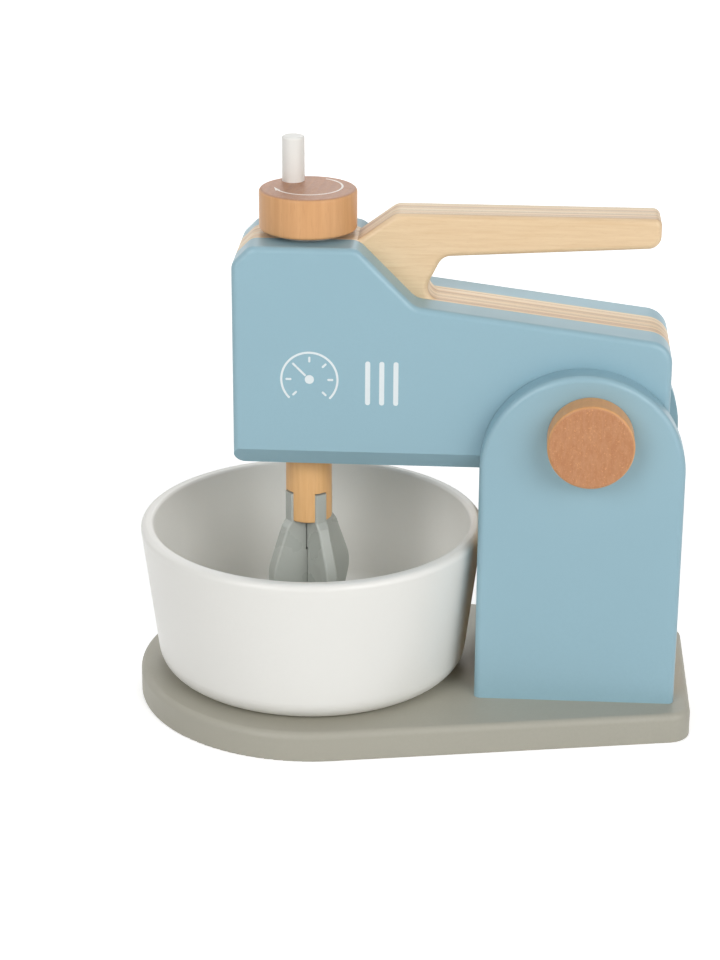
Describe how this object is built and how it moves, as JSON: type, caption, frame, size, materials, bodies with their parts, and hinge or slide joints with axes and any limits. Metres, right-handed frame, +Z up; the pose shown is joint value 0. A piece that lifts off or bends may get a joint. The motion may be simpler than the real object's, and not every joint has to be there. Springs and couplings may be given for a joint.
{
  "type": "toy stand mixer",
  "caption": "Wooden toy stand mixer: a tilting head with a carry handle and a hand-turned crossed beater over a loose round bowl on a flat base board.",
  "frame": {"origin": "centre of the base board's underside, on the surface it stands on", "axes": "+X from the bowl end to the column end, +Y from the printed front to the back, +Z up"},
  "size_m": [0.2015, 0.1268, 0.2061],
  "materials": {
    "sage_paint": "satin paint",
    "blue_paint": "satin paint",
    "plywood": "clear matte lacquer",
    "beech": "clear matte lacquer",
    "white_paint": "matte paint",
    "grey_paint": "matte paint",
    "screw_steel": "zinc plated",
    "washer_nylon": "natural nylon"
  },
  "bodies": {
    "stand": {"base_board": "sage_paint", "front_upright": "blue_paint", "rear_upright": "blue_paint", "column_block": "plywood", "column_dowels": "beech", "base_screws": "screw_steel"},
    "head": {"front_panel": "blue_paint", "rear_panel": "blue_paint", "head_core": "plywood", "head_dowels": "beech", "pivot_axle": "beech", "front_axle_knob": "beech", "rear_axle_knob": "beech", "knob_washer": "washer_nylon"},
    "beater": {"top_knob": "beech", "crank_peg": "white_paint", "drive_spindle": "beech", "beater_shaft": "beech", "beater_plate_long": "grey_paint", "beater_plate_cross": "grey_paint"},
    "bowl": {"bowl": "white_paint"}
  },
  "joints": [
    {"name": "head_tilt", "type": "hinge", "parent": "stand", "child": "head", "pos_m": [0.06135, 0, 0.1116], "axis": [0, 1, 0], "range_deg": [0, 60]},
    {"name": "beater_spin", "type": "hinge", "parent": "head", "child": "beater", "pos_m": [-0.03844, 0, 0.0944], "axis": [0, 0, 1], "continuous": true},
    {"name": "bowl_turn", "type": "hinge", "parent": "stand", "child": "bowl", "pos_m": [-0.03734, 0, 0.0111], "axis": [0, 0, 1], "continuous": true}
  ]
}
